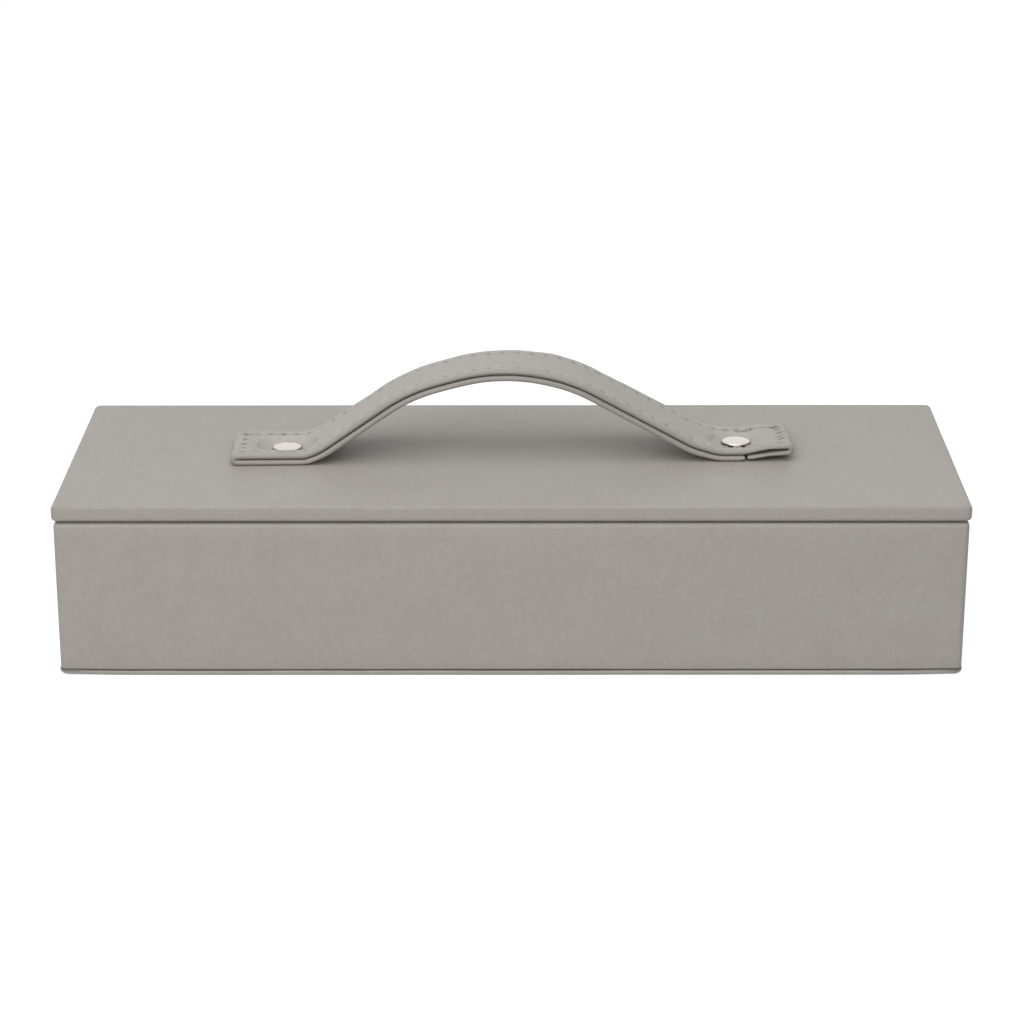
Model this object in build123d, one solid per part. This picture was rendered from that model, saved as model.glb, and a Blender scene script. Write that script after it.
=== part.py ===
from build123d import *
import math
import os

# A long, low box with a flat lid that lifts straight off by a strap handle.
# Boards are wrapped in thin leatherette, and the inside is lined with cloth over card.
# Frame: origin under the middle of the box, X along its length, -Y the front, Z up.

# Outside of the box, lid on, handle left out
LID_LENGTH = 300.0
LID_DEPTH = 110.0
LID_THICKNESS = 5.3
LID_TOP = 59.5
LID_OVERHANG = 0.5
BASE_THICKNESS = 2.0

# Sheet and board thicknesses
COVER = 0.5
BASE_BOARD = BASE_THICKNESS - 2 * COVER
WALL = 3.0
CARD = 1.2
CLOTH = 0.5
LOCATING_BOARD = 3.0

# Rounded and bevelled corners and edges
LID_CORNER = 2.2
LID_TOP_ROUND = 2.0
LID_UNDER_CHAMFER = 1.0
BODY_CORNER = 2.0
RIM_OUTER_ROUND = 1.5
RIM_INNER_ROUND = 1.0
BODY_FOOT_CHAMFER = 0.6
BASE_CORNER = 3.5
BASE_UNDER_CHAMFER = 0.7
BASE_TOP_CHAMFER = 0.5
CLOTH_CHAMFER = 0.3
LID_BOARD_CHAMFER = 1.0
LID_BOARD_UNDER_CHAMFER = 0.6
WALL_OUTER_CHAMFER = 0.6
WALL_INNER_CHAMFER = 0.3

# How far the covers are turned in, and how the lid finds its place
UNDER_TURN_IN = 15.0
RIM_TURN_IN = 12.0
LINING_BELOW_RIM = 4.0
LOCATING_DROP = 3.5
LOCATING_PLAY = 0.7

# Strap handle: one flat loop, two layers thick, joined end to end under its right foot
STRAP_WIDTH = 27.0
STRAP_THICKNESS = 4.2
STRAP_SLIT = 0.3
STRAP_BEVEL = 0.75
STRAP_CENTRE_Y = 2.4
STRAP_SKEW = 1.2
JOIN_X = 79.3
JOIN_GAP = 0.4
JOIN_CHAMFER = 0.7

# The line between its layers: corners by place and height above the lid, with the radius of each bend
STRAP_LEFT_END = -95.4
LEFT_RAMP_FOOT, LEFT_RAMP_BEND = -67.8, 14.6
LEFT_SHOULDER, LEFT_SHOULDER_BEND = (-33.2, 25.9), 61.0
CROWN, CROWN_BEND = (-2.6, 32.5), 51.5
RIGHT_SHOULDER, RIGHT_SHOULDER_BEND = (19.9, 28.1), 69.0
RIGHT_RAMP_FOOT, RIGHT_RAMP_BEND = 65.9, 36.0
TIP_BEND_X, TIP_BEND = 79.0, 20.0
STRAP_RIGHT_END = 95.2
TIP_LIFT = 2.1

# Rivets through the strap's feet
RIVET_X = 76.8
CAP_RADIUS = 5.0
CAP_RIM = 0.3
CAP_DOME = 1.0
DOME_STEPS = 2
CAP_SINK = 1.8
DIMPLE_SHOULDER = 2.0
DIMPLE_PLAY = 0.1
POST_RADIUS = 1.6
HEAD_RADIUS = 4.0
HEAD_THICKNESS = 0.8
HEAD_PLAY = 0.4

# Levels and lengths that follow from those sizes
LID_UNDER = LID_TOP - LID_THICKNESS
RIM = LID_UNDER
BODY_LENGTH = LID_LENGTH - 2 * LID_OVERHANG
BODY_DEPTH = LID_DEPTH - 2 * LID_OVERHANG
WALL_FOOT = BASE_THICKNESS + COVER
WALL_TOP = RIM - COVER
FLOOR_TOP = WALL_FOOT + WALL
LINING = CARD + CLOTH
LINING_TOP = RIM - LINING_BELOW_RIM
ROOM_LENGTH = BODY_LENGTH - 2 * (COVER + WALL)
ROOM_DEPTH = BODY_DEPTH - 2 * (COVER + WALL)
MOUTH_LENGTH = ROOM_LENGTH - 2 * COVER
MOUTH_DEPTH = ROOM_DEPTH - 2 * COVER
HALF_STRAP = STRAP_THICKNESS / 2
HANDLE = Location((0, STRAP_CENTRE_Y, LID_TOP), (0, 0, STRAP_SKEW))
RIVETS = {"left": -RIVET_X, "right": RIVET_X}

# How near to a line or surface an edge counts as lying on it
NEAR = 0.05


def slab(length, depth, foot, top, corner=0.0):
    """A board lying flat between two heights, its upright corners rounded."""
    outline = RectangleRounded(length, depth, corner) if corner else Rectangle(length, depth)
    return Pos(0, 0, foot) * extrude(outline, top - foot)


def edges_at(solid, level):
    return solid.edges().filter_by_position(Axis.Z, level, level)


def frame_ring(outer, inner, foot, top, corner, finish, outer_size, inner_size):
    """Four walls round an open middle; finish rounds or chamfers the two edges of the rim."""
    block = slab(*outer, foot, top, corner)
    block = finish(edges_at(block, top), outer_size)
    ring = block - slab(*inner, foot, top)
    lip = [
        edge
        for edge in edges_at(ring, top)
        if abs(edge.center().X) < inner[0] / 2 + NEAR and abs(edge.center().Y) < inner[1] / 2 + NEAR
    ]
    return finish(lip, inner_size)


# Body walls: 3 mm board, mitred at the four corners
def wall_ring():
    return frame_ring(
        (BODY_LENGTH - 2 * COVER, BODY_DEPTH - 2 * COVER),
        (ROOM_LENGTH, ROOM_DEPTH),
        WALL_FOOT,
        WALL_TOP,
        BODY_CORNER - COVER,
        chamfer,
        WALL_OUTER_CHAMFER,
        WALL_INNER_CHAMFER,
    )


def mitred_walls():
    """Cuts the ring of walls along its four corner diagonals."""
    ring = wall_ring()
    x_out, y_out = BODY_LENGTH / 2 - COVER, BODY_DEPTH / 2 - COVER
    x_in, y_in = ROOM_LENGTH / 2, ROOM_DEPTH / 2
    front = [(-x_out, -y_out), (x_out, -y_out), (x_in, -y_in), (-x_in, -y_in)]
    left = [(-x_out, -y_out), (-x_in, -y_in), (-x_in, y_in), (-x_out, y_out)]
    outlines = {
        "front_wall": front,
        "back_wall": [(x, -y) for x, y in front],
        "left_wall": left,
        "right_wall": [(-x, y) for x, y in left],
    }
    walls = {}
    for name, corners in outlines.items():
        prism = extrude(make_face(Polyline(*corners, close=True)), RIM)
        walls[name] = ring & prism
    return walls


# Leatherette round the body: up the outside, over the rim and down the inside,
# with its lower edge turned under the walls
def box_cover():
    skin = frame_ring(
        (BODY_LENGTH, BODY_DEPTH),
        (MOUTH_LENGTH, MOUTH_DEPTH),
        BASE_THICKNESS,
        RIM,
        BODY_CORNER,
        fillet,
        RIM_OUTER_ROUND,
        RIM_INNER_ROUND,
    )
    foot_edges = skin.faces().sort_by(Axis.Z)[0].outer_wire().edges()
    skin = chamfer(foot_edges, BODY_FOOT_CHAMFER)
    skin -= wall_ring()
    skin -= slab(ROOM_LENGTH, ROOM_DEPTH, WALL_FOOT, RIM - RIM_TURN_IN)
    flange = slab(ROOM_LENGTH, ROOM_DEPTH, BASE_THICKNESS, WALL_FOOT)
    window = slab(
        BODY_LENGTH - 2 * UNDER_TURN_IN,
        BODY_DEPTH - 2 * UNDER_TURN_IN,
        BASE_THICKNESS,
        WALL_FOOT,
    )
    return skin + (flange - window)


def floor_board():
    return slab(ROOM_LENGTH, ROOM_DEPTH, WALL_FOOT, FLOOR_TOP)


# Base panel: a thin board wrapped by itself and glued under the body
def base_board():
    return slab(
        BODY_LENGTH - 2 * COVER,
        BODY_DEPTH - 2 * COVER,
        COVER,
        COVER + BASE_BOARD,
        BASE_CORNER - COVER,
    )


def base_cover():
    skin = slab(BODY_LENGTH, BODY_DEPTH, 0, BASE_THICKNESS, BASE_CORNER)
    skin = chamfer(edges_at(skin, 0), BASE_UNDER_CHAMFER)
    skin = chamfer(edges_at(skin, BASE_THICKNESS), BASE_TOP_CHAMFER)
    window = slab(
        BODY_LENGTH - 2 * UNDER_TURN_IN,
        BODY_DEPTH - 2 * UNDER_TURN_IN,
        COVER + BASE_BOARD,
        BASE_THICKNESS,
    )
    return skin - base_board() - window


# Cloth-covered panels: a core lying on the XY plane, and the cloth over face and edges
def wrapped_panel(length, depth, core_thickness):
    core = slab(length - 2 * CLOTH, depth - 2 * CLOTH, 0, core_thickness)
    cloth = slab(length, depth, 0, core_thickness + CLOTH)
    cloth = chamfer(edges_at(cloth, core_thickness + CLOTH), CLOTH_CHAMFER)
    return core, cloth - core


def lining_panels(cover):
    """Cards and cloths of the four walls and the floor, pressed over the turned-in cover."""
    height = LINING_TOP - FLOOR_TOP
    middle = FLOOR_TOP + height / 2
    side_length = ROOM_DEPTH - 2 * LINING
    places = {
        "front": (ROOM_LENGTH, height, Location((0, -ROOM_DEPTH / 2, middle), (-90, 0, 0))),
        "back": (ROOM_LENGTH, height, Location((0, ROOM_DEPTH / 2, middle), (90, 0, 0))),
        "left": (height, side_length, Location((-ROOM_LENGTH / 2, 0, middle), (0, 90, 0))),
        "right": (height, side_length, Location((ROOM_LENGTH / 2, 0, middle), (0, -90, 0))),
        "floor": (ROOM_LENGTH - 2 * LINING, side_length, Location((0, 0, FLOOR_TOP))),
    }
    panels = {}
    for name, (length, depth, place) in places.items():
        card, cloth = wrapped_panel(length, depth, CARD)
        panels[f"lining_card_{name}"] = place * card - cover
        panels[f"lining_cloth_{name}"] = place * cloth - cover
    return panels


# Rivets: a domed cap on the strap, on a post whose flat head grips the lid board below
def rivet_cap(x):
    seat = STRAP_THICKNESS - CAP_SINK
    rim = seat + CAP_RIM
    turns = [math.pi / 2 * step / DOME_STEPS for step in range(DOME_STEPS + 1)]
    dome = [(CAP_RADIUS * math.cos(turn), rim + CAP_DOME * math.sin(turn)) for turn in turns]
    profile = make_face(Polyline((0, seat), (CAP_RADIUS, seat), *dome, close=True))
    return HANDLE * Pos(x, 0, 0) * revolve(Plane.XZ * profile, Axis.Z)


def rivet_post(x, radius=POST_RADIUS, head_radius=HEAD_RADIUS, head_thickness=HEAD_THICKNESS):
    board_under = LID_UNDER + COVER - LID_TOP
    tip = STRAP_THICKNESS - CAP_SINK
    post = Pos(0, 0, board_under) * extrude(Circle(radius), tip - board_under)
    head = Pos(0, 0, board_under) * extrude(Circle(head_radius), -head_thickness)
    return HANDLE * Pos(x, 0, 0) * (post + head)


def rivet_holes():
    """Room for both posts and their heads."""
    left, right = [
        rivet_post(x, POST_RADIUS, HEAD_RADIUS + HEAD_PLAY, HEAD_THICKNESS + HEAD_PLAY)
        for x in RIVETS.values()
    ]
    return left + right


# Lid: one board wrapped in leatherette, round along its top edge and bevelled below
def lid_board():
    board = slab(
        LID_LENGTH - 2 * COVER,
        LID_DEPTH - 2 * COVER,
        LID_UNDER + COVER,
        LID_TOP - COVER,
        LID_CORNER - COVER,
    )
    board = chamfer(edges_at(board, LID_TOP - COVER), LID_BOARD_CHAMFER)
    return chamfer(edges_at(board, LID_UNDER + COVER), LID_BOARD_UNDER_CHAMFER)


def lid_cover():
    skin = slab(LID_LENGTH, LID_DEPTH, LID_UNDER, LID_TOP, LID_CORNER)
    skin = fillet(edges_at(skin, LID_TOP), LID_TOP_ROUND)
    skin = chamfer(edges_at(skin, LID_UNDER), LID_UNDER_CHAMFER)
    window = slab(
        LID_LENGTH - 2 * UNDER_TURN_IN,
        LID_DEPTH - 2 * UNDER_TURN_IN,
        LID_UNDER,
        LID_UNDER + COVER,
    )
    return skin - lid_board() - window


# Locating panel: glued under the lid, it drops inside the rim and stops the lid sliding
def locating_panel():
    length = MOUTH_LENGTH - 2 * LOCATING_PLAY
    depth = MOUTH_DEPTH - 2 * LOCATING_PLAY
    core, cloth = wrapped_panel(length, depth, LOCATING_BOARD)
    place = Location((0, 0, LID_UNDER - LOCATING_DROP + CLOTH + LOCATING_BOARD), (180, 0, 0))
    filling = slab(
        LID_LENGTH - 2 * UNDER_TURN_IN,
        LID_DEPTH - 2 * UNDER_TURN_IN,
        LID_UNDER,
        LID_UNDER + COVER,
    )
    return place * core + filling, place * cloth


# Strap handle, drawn along its own length and then set a little askew on the lid
def strap_seam():
    """The line between the two layers, from the left fold over the arch to the right."""
    return FilletPolyline(
        (STRAP_LEFT_END + HALF_STRAP, HALF_STRAP),
        (LEFT_RAMP_FOOT, HALF_STRAP),
        LEFT_SHOULDER,
        CROWN,
        RIGHT_SHOULDER,
        (RIGHT_RAMP_FOOT, HALF_STRAP),
        (TIP_BEND_X, HALF_STRAP),
        (STRAP_RIGHT_END - HALF_STRAP, HALF_STRAP + TIP_LIFT),
        radius=[
            LEFT_RAMP_BEND,
            LEFT_SHOULDER_BEND,
            CROWN_BEND,
            RIGHT_SHOULDER_BEND,
            RIGHT_RAMP_BEND,
            TIP_BEND,
        ],
    )


def strap_loop(inset):
    """The loop's outline: two layers with a slit between them, and a gap where the ends meet.
    The inset draws it in from the strip's surface, and is nought for the skin."""
    outside = make_face(offset(strap_seam(), HALF_STRAP - inset, side=Side.BOTH))
    slit = make_face(offset(strap_seam(), STRAP_SLIT / 2 + inset, side=Side.BOTH))
    half_gap = JOIN_GAP / 2 + inset
    flare = half_gap + JOIN_CHAMFER
    gap = make_face(
        Polyline(
            (JOIN_X - flare, 0),
            (JOIN_X - half_gap, JOIN_CHAMFER),
            (JOIN_X - half_gap, HALF_STRAP),
            (JOIN_X + half_gap, HALF_STRAP),
            (JOIN_X + half_gap, JOIN_CHAMFER),
            (JOIN_X + flare, 0),
            close=True,
        )
    )
    return outside - slit - gap


def strap_skin():
    """The strip at full size, bevelled along both sides of its outer surface."""
    strip = extrude(Plane.XZ * strap_loop(0), STRAP_WIDTH / 2, both=True)
    seam = Plane.XZ * strap_seam()

    def from_seam(edge):
        middle = edge @ 0.5
        return seam.distance_to(Vertex(middle.X, 0, middle.Z))

    side_edges = strip.faces().filter_by(Axis.Y).edges()
    return chamfer([edge for edge in side_edges if from_seam(edge) > HALF_STRAP - NEAR], STRAP_BEVEL)


def strap_padding():
    """A square-edged strip that fills the skin."""
    return extrude(Plane.XZ * strap_loop(COVER), STRAP_WIDTH / 2 - COVER, both=True)


def dimple(x):
    """Where the rivet's cap presses into the strap, with a sloping shoulder."""
    floor = STRAP_THICKNESS - CAP_SINK
    wall = CAP_RADIUS + DIMPLE_PLAY
    shoulder = wall + DIMPLE_SHOULDER
    profile = make_face(
        Polyline(
            (0, floor),
            (wall, floor),
            (shoulder, STRAP_THICKNESS),
            (shoulder, 2 * STRAP_THICKNESS),
            (0, 2 * STRAP_THICKNESS),
            close=True,
        )
    )
    return Pos(x, 0, 0) * revolve(Plane.XZ * profile, Axis.Z)


def handle():
    """The strip's leatherette skin, and the padding inside it, both pressed in under the caps."""
    skin = strap_skin()
    padding = strap_padding()
    for x in RIVETS.values():
        skin -= dimple(x)
        padding -= Pos(0, 0, -COVER) * dimple(x)
    skin -= padding
    holes = rivet_holes()
    return HANDLE * skin - holes, HANDLE * padding - holes


def build():
    cover = box_cover()
    lid_skin = lid_cover()
    holes = rivet_holes()
    locating_core, locating_cloth = locating_panel()
    strap, padding = handle()
    pieces = {
        "base_board": base_board(),
        "base_cover": base_cover(),
        "floor_board": floor_board(),
        "box_cover": cover,
        **mitred_walls(),
        **lining_panels(cover),
        "lid_board": lid_board() - holes,
        "lid_cover": lid_skin - holes,
        "locating_board": locating_core - holes,
        "locating_cloth": locating_cloth,
        "handle_strap": strap,
        "handle_padding": padding,
    }
    for side, x in RIVETS.items():
        pieces[f"rivet_cap_{side}"] = rivet_cap(x)
        pieces[f"rivet_post_{side}"] = rivet_post(x)
    return pieces


os.makedirs("parts", exist_ok=True)
for name, shape in build().items():
    export_step(shape, f"parts/{name}.step")
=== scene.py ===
import bisect
import math
import random

import bmesh
import bpy
from mathutils import Matrix, Vector


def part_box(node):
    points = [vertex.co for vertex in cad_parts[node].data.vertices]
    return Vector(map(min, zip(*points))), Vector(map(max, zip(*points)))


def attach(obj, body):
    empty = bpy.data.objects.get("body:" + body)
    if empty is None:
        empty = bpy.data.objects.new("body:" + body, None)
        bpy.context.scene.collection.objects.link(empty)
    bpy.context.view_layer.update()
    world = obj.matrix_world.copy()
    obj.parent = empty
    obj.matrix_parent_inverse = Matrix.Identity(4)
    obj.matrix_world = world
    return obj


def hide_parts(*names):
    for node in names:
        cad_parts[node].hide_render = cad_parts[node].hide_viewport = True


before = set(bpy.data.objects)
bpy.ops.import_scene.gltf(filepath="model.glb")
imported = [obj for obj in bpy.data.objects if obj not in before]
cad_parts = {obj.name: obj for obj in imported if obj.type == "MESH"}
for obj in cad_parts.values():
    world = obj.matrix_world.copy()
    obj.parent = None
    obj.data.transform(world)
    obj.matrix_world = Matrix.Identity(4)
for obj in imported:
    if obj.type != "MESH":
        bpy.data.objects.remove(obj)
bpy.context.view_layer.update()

# The photographed view: a long lens about a metre away, tipped down onto the lid and
# turned a hair to the left. The frame is square.
FRAME_PIXELS = 1024
FOCAL_PIXELS = 2972.0
SENSOR_WIDTH = 36.0
CAMERA_PLACE = (0.005243, -0.964112, 0.382226)
CAMERA_DOWN = math.radians(19.638)
CAMERA_LEFT = math.radians(0.31)
CAMERA_ROLL = math.radians(-0.141)

bpy.ops.object.select_all(action="DESELECT")
bpy.ops.object.camera_add(location=CAMERA_PLACE)
camera = bpy.context.object
camera.data.sensor_width = SENSOR_WIDTH
camera.data.lens = FOCAL_PIXELS / FRAME_PIXELS * SENSOR_WIDTH
aim = Matrix.Rotation(CAMERA_LEFT, 4, "Z") @ Matrix.Rotation(math.pi / 2 - CAMERA_DOWN, 4, "X")
camera.matrix_world = Matrix.Translation(CAMERA_PLACE) @ aim @ Matrix.Rotation(CAMERA_ROLL, 4, "Z")
bpy.context.scene.camera = camera


# Studio: a wide soft light overhead, a little in front of the box, a weaker one low in
# front on the left, and even light all round, on a seamless white paper floor.
LIGHT_ABOVE = 11.4
LIGHT_FRONT = 7.2
LIGHT_AROUND = 0.30
PAPER_WIDTH = 12.0
PAPER_COLOUR = "#b4b4b4"
PAPER_GLOW = 0.8


def linear(hex_colour):
    """The linear colour of an sRGB hex value, as shaders take it."""
    parts = [int(hex_colour[i:i + 2], 16) / 255 for i in (1, 3, 5)]
    return (*(c / 12.92 if c <= 0.04045 else ((c + 0.055) / 1.055) ** 2.4 for c in parts), 1.0)


def node(tree, kind, fields=None, values=None, links=None):
    """Adds a shader node, sets its fields and input values, and links its inputs."""
    added = tree.nodes.new(kind)
    for name, value in (fields or {}).items():
        setattr(added, name, value)
    for name, value in (values or {}).items():
        added.inputs[name].default_value = value
    for name, source in (links or {}).items():
        tree.links.new(source, added.inputs[name])
    return added


def empty_material(name):
    material = bpy.data.materials.new(name)
    material.use_nodes = True
    material.node_tree.nodes.clear()
    return material


def soft_light(name, place, target, size, watts, colour):
    facing = (Vector(target) - Vector(place)).to_track_quat("-Z", "Y").to_euler()
    bpy.ops.object.light_add(type="AREA", location=place, rotation=facing)
    lamp = bpy.context.object
    lamp.name = name
    lamp.data.shape = "RECTANGLE"
    lamp.data.size, lamp.data.size_y = size
    lamp.data.energy = watts
    lamp.data.color = colour


soft_light("light_above", (-0.1, -0.5, 1.0), (0, 0, 0.05), (1.5, 1.5), LIGHT_ABOVE, (0.98, 0.99, 1.0))
soft_light("light_front", (-0.6, -1.4, 0.6), (0, 0, 0.03), (1.4, 0.9), LIGHT_FRONT, (1.0, 0.985, 0.96))

room = bpy.data.worlds.new("white_room")
bpy.context.scene.world = room
room.use_nodes = True
tree = room.node_tree
tree.nodes.clear()
rays = node(tree, "ShaderNodeLightPath")
direct = node(tree, "ShaderNodeMath", {"operation": "MAXIMUM"},
              links={0: rays.outputs["Is Camera Ray"], 1: rays.outputs["Is Transmission Ray"]})
mirrored = node(tree, "ShaderNodeMath", {"operation": "MAXIMUM"},
                links={0: direct.outputs[0], 1: rays.outputs["Is Glossy Ray"]})
even = node(tree, "ShaderNodeBackground", values={"Color": (1, 1, 1, 1), "Strength": LIGHT_AROUND})
white = node(tree, "ShaderNodeBackground", values={"Color": (1, 1, 1, 1), "Strength": 1.0})
either = node(tree, "ShaderNodeMixShader",
              links={0: mirrored.outputs[0], 1: even.outputs[0], 2: white.outputs[0]})
node(tree, "ShaderNodeOutputWorld", links={"Surface": either.outputs[0]})

bpy.ops.mesh.primitive_plane_add(size=PAPER_WIDTH)
floor = bpy.context.object
floor.name = "floor"
paper = empty_material("seamless_white_paper")
tree = paper.node_tree
matte = node(tree, "ShaderNodeBsdfDiffuse", values={"Color": linear(PAPER_COLOUR)})
glow = node(tree, "ShaderNodeEmission", values={"Color": (1, 1, 1, 1), "Strength": PAPER_GLOW})
shown = node(tree, "ShaderNodeAddShader", links={0: matte.outputs[0], 1: glow.outputs[0]})
plain = node(tree, "ShaderNodeBsdfDiffuse", values={"Color": linear(PAPER_COLOUR)})
rays = node(tree, "ShaderNodeLightPath")
direct = node(tree, "ShaderNodeMath", {"operation": "MAXIMUM"},
              links={0: rays.outputs["Is Camera Ray"], 1: rays.outputs["Is Glossy Ray"]})
either = node(tree, "ShaderNodeMixShader",
              links={0: direct.outputs[0], 1: plain.outputs[0], 2: shown.outputs[0]})
node(tree, "ShaderNodeOutputMaterial", links={"Surface": either.outputs[0]})
floor.data.materials.append(paper)


# Boards: the base board and the lining cards are grey bookbinder's board. The floor board,
# the four mitred walls, the lid board and the locating board are fibreboard. All are covered.
def pressed_board(name, light, dark, fibre):
    """Grey board pressed from waste paper: matt, with short fibres and darker flecks."""
    material = empty_material(name)
    tree = material.node_tree
    place = node(tree, "ShaderNodeTexCoord")
    stretch = node(tree, "ShaderNodeMapping", values={"Scale": (0.35, 1, 1)},
                   links={0: place.outputs["Object"]})
    fibres = node(tree, "ShaderNodeTexNoise", values={"Scale": 1 / fibre, "Detail": 6.0, "Roughness": 0.7},
                  links={0: stretch.outputs[0]})
    flecks = node(tree, "ShaderNodeTexNoise", values={"Scale": 0.25 / fibre, "Detail": 2.0},
                  links={0: place.outputs["Object"]})
    amount = node(tree, "ShaderNodeMath", {"operation": "MULTIPLY"},
                  links={0: fibres.outputs["Fac"], 1: flecks.outputs["Fac"]})
    spread = node(tree, "ShaderNodeMapRange", values={"From Min": 0.12, "From Max": 0.38},
                  links={0: amount.outputs[0]})
    colour = node(tree, "ShaderNodeMix", {"data_type": "RGBA"}, {6: linear(dark), 7: linear(light)},
                  {0: spread.outputs["Result"]})
    rough = node(tree, "ShaderNodeBump", values={"Strength": 0.4, "Distance": 0.00015},
                 links={"Height": fibres.outputs["Fac"]})
    shader = node(tree, "ShaderNodeBsdfPrincipled", values={"Roughness": 0.9, "IOR": 1.5},
                  links={"Base Color": colour.outputs[2], "Normal": rough.outputs[0]})
    node(tree, "ShaderNodeOutputMaterial", links={"Surface": shader.outputs[0]})
    return material


def finish_node(name, material):
    """Gives a carried-over part its material in place of the plain one."""
    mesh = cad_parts[name].data
    mesh.materials.clear()
    mesh.materials.append(material)


greyboard = pressed_board("grey_bookbinding_board", "#8d8880", "#6f6a62", 0.0011)
fibreboard = pressed_board("medium_density_fibreboard", "#a08a6c", "#86704f", 0.0008)
for board in ("base_board", "lining_card_front", "lining_card_back", "lining_card_left", "lining_card_right",
              "lining_card_floor"):
    finish_node(board, greyboard)
for board in ("floor_board", "front_wall", "back_wall", "left_wall", "right_wall", "lid_board",
              "locating_board"):
    finish_node(board, fibreboard)


# Base panel cover: grey leatherette round the thin base board, turned in on top, where
# the box is glued over it. Its edge shows as a thin lip below a groove all round.
MM = 0.001
HAIR = 1e-6
MERGE_WITHIN = 2e-6
SHEET = 0.45 * MM
SHEET_ANGLE = math.radians(40)
TURN_IN = 15 * MM
CORNER_STEPS = 8
ROUND_STEPS = 6
SCORE_PITCH = 8 * MM
BASE_CORNER = 3.5 * MM
# how dark the painted shade in a groove is
GROOVE_PAINTED_SHADE = 0.6
CORNER_BOW = 13 * MM
CORNER_RISE = 0.42 * MM
CORNER_REST = 0.1 * MM
CORNER_DRAWN = 0.08 * MM
NEAR_FACE = 1 * MM
NEAR_FLAT = 2 * MM


def grained_leatherette(name, light, dark):
    """Cloth with a coat of soft PU, embossed by a roller with fine pebbles: satin, even in colour,
    each pebble about a millimetre across and a few hundredths deep. Its colour also carries painted
    shade: dark at each needle hole, and darker in a groove and along an edge, where shade falls."""
    pebble = 0.9 * MM
    material = empty_material(name)
    tree = material.node_tree
    place = node(tree, "ShaderNodeTexCoord")
    wander = node(tree, "ShaderNodeTexNoise", values={"Scale": 1 / (3 * pebble), "Detail": 2.0},
                  links={0: place.outputs["Object"]})
    swing = node(tree, "ShaderNodeVectorMath", {"operation": "SCALE"}, {"Scale": 1.1 * pebble},
                 {0: wander.outputs["Color"]})
    shifted = node(tree, "ShaderNodeVectorMath", {"operation": "ADD"},
                   links={0: place.outputs["Object"], 1: swing.outputs[0]})
    cells = node(tree, "ShaderNodeTexVoronoi", {"feature": "SMOOTH_F1"},
                 {"Scale": 1 / pebble, "Smoothness": 0.5, "Randomness": 1.0}, {0: shifted.outputs[0]})
    pores = node(tree, "ShaderNodeTexNoise", values={"Scale": 1 / (0.45 * pebble), "Detail": 2.0},
                 links={0: place.outputs["Object"]})
    height = node(tree, "ShaderNodeMath", {"operation": "MULTIPLY_ADD"}, {1: -1.0},
                  {0: cells.outputs["Distance"], 2: pores.outputs["Fac"]})
    fleck = node(tree, "ShaderNodeTexNoise",
                 values={"Scale": 1 / (1.6 * pebble), "Detail": 3.0, "Roughness": 0.6},
                 links={0: shifted.outputs[0]})
    cloud = node(tree, "ShaderNodeTexNoise", values={"Scale": 1 / (14 * MM), "Detail": 3.0, "Roughness": 0.6},
                 links={0: place.outputs["Object"]})
    mottle = node(tree, "ShaderNodeMath", {"operation": "MULTIPLY_ADD"}, {1: 0.5},
                  {0: cloud.outputs["Fac"], 2: fleck.outputs["Fac"]})
    amount = node(tree, "ShaderNodeMapRange", values={"From Min": 0.5, "From Max": 1.0},
                  links={0: mottle.outputs[0]})
    colour = node(tree, "ShaderNodeMix", {"data_type": "RGBA"}, {6: linear(dark), 7: linear(light)},
                  {0: amount.outputs["Result"]})
    # painted shade: a point attribute mixes the colour towards a dark brown in holes, grooves and along edges
    painted_shade_amount = node(tree, "ShaderNodeAttribute", {"attribute_name": "painted_shade"})
    colour_with_painted_shade = node(tree, "ShaderNodeMix", {"data_type": "RGBA"}, {7: linear("#3b362f")},
                  {0: painted_shade_amount.outputs["Fac"], 6: colour.outputs[2]})
    bump = node(tree, "ShaderNodeBump", values={"Strength": 0.6, "Distance": 0.06 * MM},
                links={"Height": height.outputs[0]})
    shader = node(tree, "ShaderNodeBsdfPrincipled", values={"Roughness": 0.52, "IOR": 1.46},
                  links={"Base Color": colour_with_painted_shade.outputs[2], "Normal": bump.outputs[0]})
    node(tree, "ShaderNodeOutputMaterial", links={"Surface": shader.outputs[0]})
    return material


leatherette = grained_leatherette("grey_pu_leatherette_pebble_embossed", "#a9a49e", "#a09a94")


def choose(kind, test):
    """In edit mode, selects only the vertices, edges or faces that pass a test."""
    bpy.ops.mesh.select_mode(type=kind)
    bpy.ops.mesh.select_all(action="DESELECT")
    mesh = bmesh.from_edit_mesh(bpy.context.object.data)
    for part in {"VERT": mesh.verts, "EDGE": mesh.edges, "FACE": mesh.faces}[kind]:
        part.select_set(test(part))
    mesh.select_flush_mode()
    bmesh.update_edit_mesh(bpy.context.object.data)


def level(part, height):
    return all(abs(v.co.z - height) < HAIR for v in part.verts)


def upright(edge):
    a, b = edge.verts
    return abs(a.co.x - b.co.x) < HAIR and abs(a.co.y - b.co.y) < HAIR


def start_block(name, low, high, corner):
    """A block between two corners with its upright edges rounded, left in edit mode."""
    bpy.ops.object.select_all(action="DESELECT")
    bpy.ops.mesh.primitive_cube_add(size=1, location=(Vector(low) + Vector(high)) / 2)
    piece = bpy.context.object
    piece.name = name
    piece.scale = Vector(high) - Vector(low)
    bpy.ops.object.transform_apply(location=True, rotation=True, scale=True)
    bpy.ops.object.mode_set(mode="EDIT")
    choose("EDGE", upright)
    bpy.ops.mesh.bevel(offset=corner, segments=CORNER_STEPS, affect="EDGES")
    return piece


def round_in(radius, rise):
    """Turns the selected end face inwards over a quarter round, rising or, if rise is negative, sinking."""
    for k in range(ROUND_STEPS):
        before, after = (math.pi / 2 * step / ROUND_STEPS for step in (k, k + 1))
        bpy.ops.mesh.inset(thickness=radius * (math.cos(before) - math.cos(after)))
        bpy.ops.transform.translate(value=(0, 0, rise * (math.sin(after) - math.sin(before))))


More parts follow.
